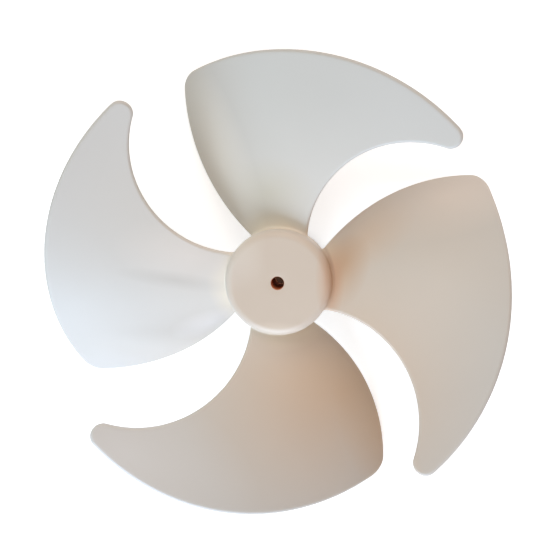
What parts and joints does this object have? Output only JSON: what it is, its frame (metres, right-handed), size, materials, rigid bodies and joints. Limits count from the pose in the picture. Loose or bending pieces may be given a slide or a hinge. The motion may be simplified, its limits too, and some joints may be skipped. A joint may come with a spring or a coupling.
{
  "type": "fan blade",
  "caption": "One-piece moulded axial fan wheel: a cup-shaped hub with a shaft bore carries forward-swept sickle blades that move air when it is pushed on a small motor's shaft.",
  "frame": {"origin": "on the shaft axis at the hub's flat front face", "axes": "+Z along the shaft axis out of the front face; the first blade lies about +Y; the part lies face up on its trailing edges"},
  "size_m": [0.107, 0.107, 0.0311],
  "materials": {
    "ivory_plastic": "satin moulded, off-white"
  },
  "bodies": {
    "root": {"fan_wheel": "ivory_plastic"}
  },
  "joints": []
}
